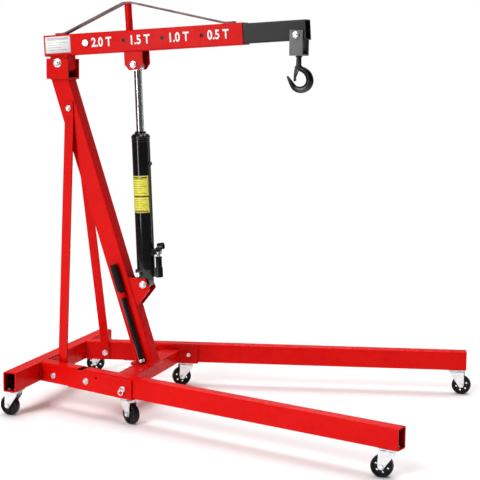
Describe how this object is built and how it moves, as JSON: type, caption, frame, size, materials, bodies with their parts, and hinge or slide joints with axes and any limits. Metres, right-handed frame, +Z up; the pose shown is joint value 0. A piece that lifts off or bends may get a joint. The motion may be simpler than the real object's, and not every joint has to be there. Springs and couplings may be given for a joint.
{
  "type": "engine hoist crane",
  "caption": "Folding shop crane: leaning mast, telescoping boom with hook, hydraulic ram, side braces and splayed fold-up legs on swivel casters.",
  "frame": {"origin": "middle of the bounding box's underside, on the floor", "axes": "+X forward along the boom, +Y to the crane's left, +Z up"},
  "size_m": [1.5296, 1.1704, 1.4704],
  "materials": {
    "frame_red": "glossy red enamel",
    "black_enamel": "satin black enamel",
    "chrome": "hard chrome, polished",
    "zinc": "bright zinc plate",
    "forged_steel": "blackened forged steel",
    "wheel_black": "moulded black nylon",
    "grip_rubber": "ribbed rubber",
    "strap_steel": "dark rolled steel"
  },
  "bodies": {
    "base": {"rear_cross_tube": "frame_red", "side_rail_left": "frame_red", "side_rail_right": "frame_red", "leg_saddle_left": "frame_red", "leg_saddle_right": "frame_red", "front_cross_tube": "frame_red", "fold_pins": "zinc", "caster_plates_base": "zinc", "caster_bolts_base": "zinc", "mast_foot_plate": "frame_red", "mast_post": "frame_red", "mast_head": "frame_red", "ram_clevis": "frame_red", "brace_left": "frame_red", "brace_right": "frame_red", "brace_bolts": "zinc", "handle_clip": "frame_red"},
    "boom_pin": {"boom_pivot_bolt": "zinc"},
    "boom": {"boom_tube": "frame_red", "boom_lugs": "frame_red", "truss_post": "frame_red", "truss_strap": "strap_steel", "ram_upper_bolt": "zinc"},
    "extension": {"extension_tube": "black_enamel"},
    "extension_pin": {"extension_pin": "zinc"},
    "yoke": {"hook_yoke": "forged_steel", "yoke_bolt": "zinc"},
    "hook": {"crane_hook": "forged_steel"},
    "latch": {"hook_latch": "forged_steel"},
    "ram_pin": {"ram_lower_bolt": "zinc"},
    "ram_body": {"ram_base": "black_enamel", "ram_cylinder": "black_enamel", "ram_cap": "black_enamel", "pump_cylinder": "black_enamel"},
    "ram_ring": {"ram_ring": "chrome"},
    "ram_rod": {"ram_rod": "chrome"},
    "pump_plunger": {"pump_plunger": "black_enamel"},
    "handle_socket": {"handle_socket": "black_enamel"},
    "release_valve": {"release_valve": "zinc"},
    "handle": {"handle_rod": "black_enamel", "handle_grip": "grip_rubber"},
    "leg_right": {"leg_tube_right": "frame_red", "leg_caster_mount_right": "zinc"},
    "lock_pin_right": {"lock_pin_right": "zinc"},
    "leg_left": {"leg_tube_left": "frame_red", "leg_caster_mount_left": "zinc"},
    "lock_pin_left": {"lock_pin_left": "zinc"},
    "fork_rear_right": {"fork_rear_right": "zinc"},
    "wheel_rear_right": {"wheel_rear_right": "wheel_black"},
    "fork_rear_left": {"fork_rear_left": "zinc"},
    "wheel_rear_left": {"wheel_rear_left": "wheel_black"},
    "fork_mid_right": {"fork_mid_right": "zinc"},
    "wheel_mid_right": {"wheel_mid_right": "wheel_black"},
    "fork_mid_left": {"fork_mid_left": "zinc"},
    "wheel_mid_left": {"wheel_mid_left": "wheel_black"},
    "fork_front_right": {"fork_front_right": "zinc"},
    "wheel_front_right": {"wheel_front_right": "wheel_black"},
    "fork_front_left": {"fork_front_left": "zinc"},
    "wheel_front_left": {"wheel_front_left": "wheel_black"}
  },
  "joints": [
    {"name": "boom_lower", "type": "hinge", "parent": "base", "child": "boom_pin", "pos_m": [-0.68831, 0, 1.247], "axis": [0, -1, 0], "range_deg": [-50, 0]},
    {"name": "boom_raise", "type": "hinge", "parent": "boom_pin", "child": "boom", "pos_m": [-0.68831, 0, 1.247], "axis": [0, -1, 0], "range_deg": [0, 37]},
    {"name": "ram_tilt_low", "type": "hinge", "parent": "base", "child": "ram_pin", "pos_m": [-0.35131, 0, 0.446], "axis": [0, -1, 0], "range_deg": [0, 11.91]},
    {"name": "ram_tilt_high", "type": "hinge", "parent": "ram_pin", "child": "ram_body", "pos_m": [-0.35131, 0, 0.446], "axis": [0, -1, 0], "range_deg": [0, 3.25]},
    {"name": "ram_stroke_low", "type": "slide", "parent": "ram_body", "child": "ram_ring", "axis": [-0.0477, 0, 0.9989], "range_m": [-0.2114, 0]},
    {"name": "ram_stroke_high", "type": "slide", "parent": "ram_ring", "child": "ram_rod", "axis": [-0.0477, 0, 0.9989], "range_m": [0, 0.1845]},
    {"name": "extension_slide", "type": "slide", "parent": "boom", "child": "extension", "axis": [0.9976, 0, 0.0687], "range_m": [0, 0.45]},
    {"name": "extension_pin_pull", "type": "slide", "parent": "boom", "child": "extension_pin", "axis": [0, -1, 0], "range_m": [0, 0.09]},
    {"name": "yoke_swing", "type": "hinge", "parent": "extension", "child": "yoke", "pos_m": [0.2193, 0, 1.35662], "axis": [0, -1, 0], "range_deg": [-45, 45]},
    {"name": "hook_swivel", "type": "hinge", "parent": "yoke", "child": "hook", "pos_m": [0.2193, 0, 1.29662], "axis": [0, 0, 1], "continuous": true},
    {"name": "latch_open", "type": "hinge", "parent": "hook", "child": "latch", "pos_m": [0.2153, 0, 1.24562], "axis": [0, -1, 0], "range_deg": [0, 35], "stiffness_Nm_per_rad": 0.05, "springref_deg": -22.92},
    {"name": "leg_fold_right", "type": "hinge", "parent": "base", "child": "leg_right", "pos_m": [-0.4563, -0.24666, 0.13], "axis": [-0.2538, -0.9673, 0], "range_deg": [0, 90]},
    {"name": "lock_pin_pull_right", "type": "slide", "parent": "base", "child": "lock_pin_right", "axis": [-0.2538, -0.9673, 0], "range_m": [0, 0.085]},
    {"name": "leg_fold_left", "type": "hinge", "parent": "base", "child": "leg_left", "pos_m": [-0.4563, 0.24666, 0.13], "axis": [0.2538, -0.9673, 0], "range_deg": [0, 90]},
    {"name": "lock_pin_pull_left", "type": "slide", "parent": "base", "child": "lock_pin_left", "axis": [-0.2538, 0.9673, 0], "range_m": [0, 0.085]},
    {"name": "swivel_rear_right", "type": "hinge", "parent": "base", "child": "fork_rear_right", "pos_m": [-0.70431, -0.357, 0.095], "axis": [0, 0, 1], "continuous": true},
    {"name": "spin_rear_right", "type": "hinge", "parent": "fork_rear_right", "child": "wheel_rear_right", "pos_m": [-0.72808, -0.35366, 0.036], "axis": [-0.1392, -0.9903, 0], "continuous": true},
    {"name": "swivel_rear_left", "type": "hinge", "parent": "base", "child": "fork_rear_left", "pos_m": [-0.70431, 0.357, 0.095], "axis": [0, 0, 1], "continuous": true},
    {"name": "spin_rear_left", "type": "hinge", "parent": "fork_rear_left", "child": "wheel_rear_left", "pos_m": [-0.72749, 0.35079, 0.036], "axis": [0.2588, -0.9659, 0], "continuous": true},
    {"name": "swivel_mid_right", "type": "hinge", "parent": "base", "child": "fork_mid_right", "pos_m": [-0.30057, -0.28752, 0.091], "axis": [0, 0, 1], "continuous": true},
    {"name": "spin_mid_right", "type": "hinge", "parent": "fork_mid_right", "child": "wheel_mid_right", "pos_m": [-0.27978, -0.29951, 0.036], "axis": [0.5, 0.866, 0], "continuous": true},
    {"name": "swivel_mid_left", "type": "hinge", "parent": "base", "child": "fork_mid_left", "pos_m": [-0.30057, 0.28752, 0.091], "axis": [0, 0, 1], "continuous": true},
    {"name": "spin_mid_left", "type": "hinge", "parent": "fork_mid_left", "child": "wheel_mid_left", "pos_m": [-0.32023, 0.27375, 0.036], "axis": [0.5736, -0.8192, 0], "continuous": true},
    {"name": "swivel_front_right", "type": "hinge", "parent": "leg_right", "child": "fork_front_right", "pos_m": [0.70442, -0.55117, 0.095], "axis": [0, 0, 1], "continuous": true},
    {"name": "spin_front_right", "type": "hinge", "parent": "fork_front_right", "child": "wheel_front_right", "pos_m": [0.68046, -0.55243, 0.036], "axis": [0.0523, -0.9986, 0], "continuous": true},
    {"name": "swivel_front_left", "type": "hinge", "parent": "leg_left", "child": "fork_front_left", "pos_m": [0.70442, 0.55117, 0.095], "axis": [0, 0, 1], "continuous": true},
    {"name": "spin_front_left", "type": "hinge", "parent": "fork_front_left", "child": "wheel_front_left", "pos_m": [0.72837, 0.55284, 0.036], "axis": [-0.0698, 0.9976, 0], "continuous": true},
    {"name": "pump_handle", "type": "hinge", "parent": "ram_body", "child": "handle_socket", "pos_m": [-0.31518, 0, 0.56986], "axis": [0, -1, 0], "range_deg": [0, 30.3]},
    {"name": "pump_stroke", "type": "slide", "parent": "ram_body", "child": "pump_plunger", "axis": [-0.0477, 0, 0.9989], "range_m": [0, 0.005]},
    {"name": "release_turn", "type": "hinge", "parent": "ram_body", "child": "release_valve", "pos_m": [-0.37106, -0.03, 0.4821], "axis": [0, -1, 0], "range_deg": [0, 180]},
    {"name": "handle_lift", "type": "slide", "parent": "base", "child": "handle", "axis": [-0.314, 0, 0.9494], "range_m": [0, 0.3]}
  ],
  "couplings": [
    {"joint": "ram_tilt_low", "follows": "boom_lower", "ratio": -0.23219},
    {"joint": "ram_stroke_low", "follows": "boom_lower", "m_per_rad": 0.24168},
    {"joint": "ram_tilt_high", "follows": "boom_raise", "ratio": 0.079659},
    {"joint": "ram_stroke_high", "follows": "boom_raise", "m_per_rad": 0.28501},
    {"joint": "pump_handle", "follows": "pump_stroke", "rad_per_m": 104.72}
  ]
}
